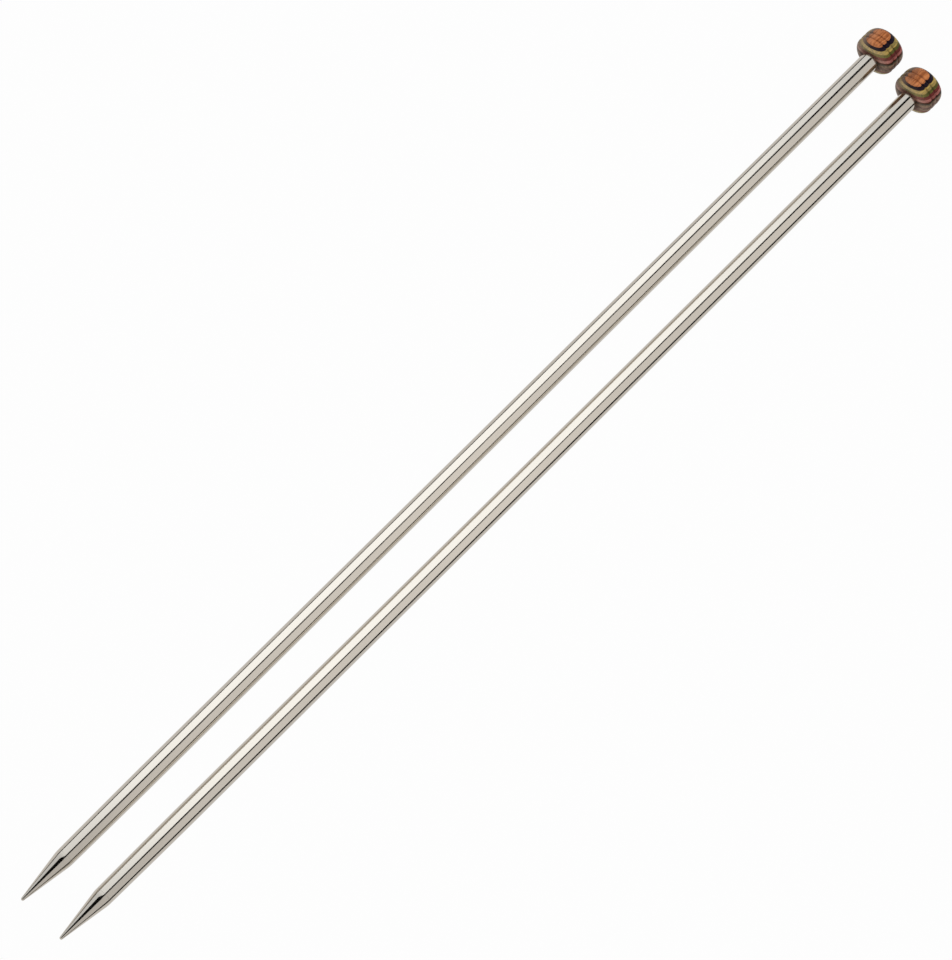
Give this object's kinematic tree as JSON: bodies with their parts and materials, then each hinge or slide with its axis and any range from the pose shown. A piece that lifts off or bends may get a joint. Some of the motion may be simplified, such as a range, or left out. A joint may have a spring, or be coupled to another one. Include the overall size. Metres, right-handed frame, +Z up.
{
  "type": "straight knitting needles",
  "caption": "Pair of straight knitting needles with polished tapered points, hollow plated shafts and grooved round knobs of dyed laminated wood.",
  "frame": {"origin": "on the surface that the pair lies on, under the middle of its box", "axes": "+X from the points to the knobs, +Y from the second needle towards the first, +Z up"},
  "size_m": [0.3, 0.025, 0.0113],
  "materials": {
    "nickel_plated_point": "nickel plated and polished",
    "nickel_plated_tube": "nickel plated and polished",
    "dyed_orange": "dyed orange, lacquered semi-gloss",
    "dyed_navy": "dyed navy, lacquered semi-gloss",
    "dyed_yellow": "dyed yellow, lacquered semi-gloss",
    "dyed_green": "dyed green, lacquered semi-gloss",
    "dyed_crimson": "dyed crimson, lacquered semi-gloss",
    "dyed_pink": "dyed pink, lacquered semi-gloss",
    "dyed_umber": "dyed umber, lacquered semi-gloss",
    "dyed_teal": "dyed teal, lacquered semi-gloss",
    "dyed_beige": "dyed beige, lacquered semi-gloss",
    "dyed_plum": "dyed plum, lacquered semi-gloss"
  },
  "bodies": {
    "needle_1": {"needle_1_point": "nickel_plated_point", "needle_1_shaft": "nickel_plated_tube", "needle_1_veneer_01_orange": "dyed_orange", "needle_1_veneer_02_navy": "dyed_navy", "needle_1_veneer_03_yellow": "dyed_yellow", "needle_1_veneer_04_green": "dyed_green", "needle_1_veneer_05_crimson": "dyed_crimson", "needle_1_veneer_06_pink": "dyed_pink", "needle_1_veneer_07_umber": "dyed_umber", "needle_1_veneer_08_teal": "dyed_teal", "needle_1_veneer_09_beige": "dyed_beige", "needle_1_veneer_10_plum": "dyed_plum", "needle_1_veneer_11_beige": "dyed_beige", "needle_1_veneer_12_crimson": "dyed_crimson", "needle_1_veneer_13_green": "dyed_green", "needle_1_veneer_14_yellow": "dyed_yellow", "needle_1_veneer_15_navy": "dyed_navy", "needle_1_veneer_16_orange": "dyed_orange"},
    "needle_2": {"needle_2_point": "nickel_plated_point", "needle_2_shaft": "nickel_plated_tube", "needle_2_veneer_01_orange": "dyed_orange", "needle_2_veneer_02_navy": "dyed_navy", "needle_2_veneer_03_yellow": "dyed_yellow", "needle_2_veneer_04_green": "dyed_green", "needle_2_veneer_05_crimson": "dyed_crimson", "needle_2_veneer_06_pink": "dyed_pink", "needle_2_veneer_07_umber": "dyed_umber", "needle_2_veneer_08_teal": "dyed_teal", "needle_2_veneer_09_beige": "dyed_beige", "needle_2_veneer_10_plum": "dyed_plum", "needle_2_veneer_11_beige": "dyed_beige", "needle_2_veneer_12_crimson": "dyed_crimson", "needle_2_veneer_13_green": "dyed_green", "needle_2_veneer_14_yellow": "dyed_yellow", "needle_2_veneer_15_navy": "dyed_navy", "needle_2_veneer_16_orange": "dyed_orange"}
  },
  "joints": [
    {"name": "needle_2_parting", "type": "slide", "parent": "needle_1", "child": "needle_2", "axis": [0, -1, 0], "range_m": [0, 0.05]}
  ]
}
